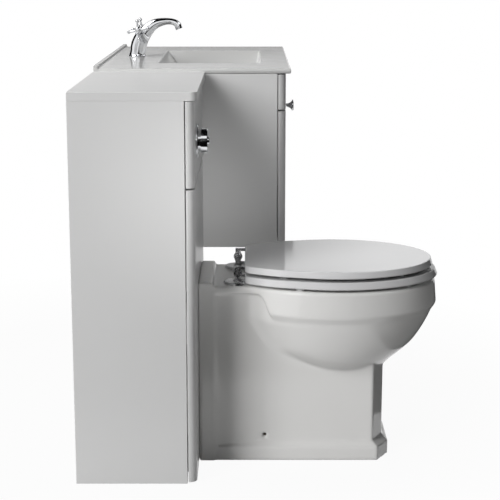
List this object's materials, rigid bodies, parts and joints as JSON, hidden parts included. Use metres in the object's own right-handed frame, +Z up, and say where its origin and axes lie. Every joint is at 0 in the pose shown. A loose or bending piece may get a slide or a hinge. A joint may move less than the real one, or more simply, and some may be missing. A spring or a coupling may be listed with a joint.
{
  "type": "vanity unit and toilet suite",
  "caption": "Bathroom suite with a WC unit hiding its cistern, a back-to-wall pan with hinged seat and lid, and a wall-hung vanity drawer unit under a basin with a mixer tap.",
  "frame": {"origin": "on the wall plane and the floor, at the joint between the WC unit and the vanity unit", "axes": "+X along the wall from the WC unit to the vanity unit, +Y into the wall so the suite faces -Y, +Z up"},
  "size_m": [1.3, 0.7834, 0.9328],
  "materials": {
    "unit_white": "white satin lacquer on board",
    "carcass_board": "white melamine faced board",
    "pan_ceramic": "glossy white glaze",
    "basin_ceramic": "glossy white",
    "seat_white": "gloss",
    "chrome": "polished",
    "zinc_steel": "zinc plated",
    "brass_fixings": "machined",
    "cistern_plastic": "moulded",
    "valve_plastic": "moulded",
    "pipe_plastic": "moulded",
    "black_rubber": "moulded",
    "buffer_rubber": "moulded"
  },
  "bodies": {
    "suite": {"wc_sides": "unit_white", "wc_front_rails": "carcass_board", "wc_back_rail": "carcass_board", "wc_worktop": "unit_white", "wc_upper_fascia": "unit_white", "wc_lower_fascia": "unit_white", "wc_wall_brackets": "zinc_steel", "cistern_tank": "cistern_plastic", "cistern_lid": "cistern_plastic", "flush_valve": "valve_plastic", "fill_valve": "valve_plastic", "cistern_nuts": "pipe_plastic", "flush_pipe": "pipe_plastic", "flush_cone": "black_rubber", "pan_connector": "pipe_plastic", "flush_flange": "chrome", "flush_back_nut": "pipe_plastic", "toilet_pan": "pan_ceramic", "pan_side_screws": "zinc_steel", "pan_floor_brackets": "zinc_steel", "hinge_flanges": "chrome", "hinge_posts": "chrome", "hinge_nuts": "valve_plastic", "vanity_sides": "unit_white", "vanity_bottom": "unit_white", "vanity_back_rail": "carcass_board", "vanity_front_rail": "carcass_board", "vanity_fascia": "unit_white", "vanity_hangers": "zinc_steel", "vanity_wall_plates": "zinc_steel", "drawer_runners": "zinc_steel", "basin": "basin_ceramic", "basin_waste": "chrome", "waste_nut": "pipe_plastic", "trap_body": "pipe_plastic", "trap_cup": "pipe_plastic", "tap_base_ring": "chrome", "tap_body": "chrome", "tap_aerator": "chrome", "tap_fixings": "brass_fixings"},
    "drawer": {"drawer_front": "unit_white", "drawer_sides": "carcass_board", "drawer_back": "carcass_board", "drawer_floor": "carcass_board", "drawer_slides": "zinc_steel", "drawer_knob": "chrome", "knob_screw": "zinc_steel"},
    "seat": {"toilet_seat": "seat_white", "seat_buffers": "buffer_rubber", "seat_hinge_arms": "chrome"},
    "lid": {"toilet_lid": "seat_white", "lid_buffers": "buffer_rubber", "lid_hinge_arms": "chrome"},
    "full_button": {"flush_full_button": "chrome"},
    "half_button": {"flush_half_button": "chrome"},
    "plug": {"waste_plug": "chrome"},
    "float": {"fill_float": "valve_plastic"},
    "flush_plug": {"flush_valve_plug": "valve_plastic"},
    "handle_left": {"tap_handle_left": "chrome"},
    "handle_right": {"tap_handle_right": "chrome"}
  },
  "joints": [
    {"name": "drawer_slide", "type": "slide", "parent": "suite", "child": "drawer", "axis": [0, -1, 0], "range_m": [0, 0.26]},
    {"name": "lid_hinge", "type": "hinge", "parent": "suite", "child": "lid", "pos_m": [-0.25, -0.34, 0.421], "axis": [-1, 0, 0], "range_deg": [0, 95]},
    {"name": "seat_hinge", "type": "hinge", "parent": "suite", "child": "seat", "pos_m": [-0.25, -0.34, 0.421], "axis": [-1, 0, 0], "range_deg": [0, 91]},
    {"name": "full_button_press", "type": "slide", "parent": "suite", "child": "full_button", "axis": [0, 1, 0], "range_m": [0, 0.005], "stiffness_N_per_m": 400},
    {"name": "half_button_press", "type": "slide", "parent": "suite", "child": "half_button", "axis": [0, 1, 0], "range_m": [0, 0.005], "stiffness_N_per_m": 400},
    {"name": "waste_plug_lift", "type": "slide", "parent": "suite", "child": "plug", "axis": [0, 0, 1], "range_m": [0, 0.007]},
    {"name": "float_rise", "type": "slide", "parent": "suite", "child": "float", "axis": [0, 0, 1], "range_m": [0, 0.06]},
    {"name": "flush_plug_lift", "type": "slide", "parent": "suite", "child": "flush_plug", "axis": [0, 0, 1], "range_m": [0, 0.025]},
    {"name": "handle_left_turn", "type": "hinge", "parent": "suite", "child": "handle_left", "pos_m": [0.337, -0.08, 0.904], "axis": [-0.8951, 0.1858, 0.4053], "range_deg": [0, 90]},
    {"name": "handle_right_turn", "type": "hinge", "parent": "suite", "child": "handle_right", "pos_m": [0.463, -0.08, 0.904], "axis": [0.8951, 0.1858, 0.4053], "range_deg": [0, 90]}
  ],
  "couplings": [
    {"joint": "seat_hinge", "follows": "lid_hinge", "ratio": 0.95},
    {"joint": "flush_plug_lift", "follows": "full_button_press", "ratio": 5}
  ]
}
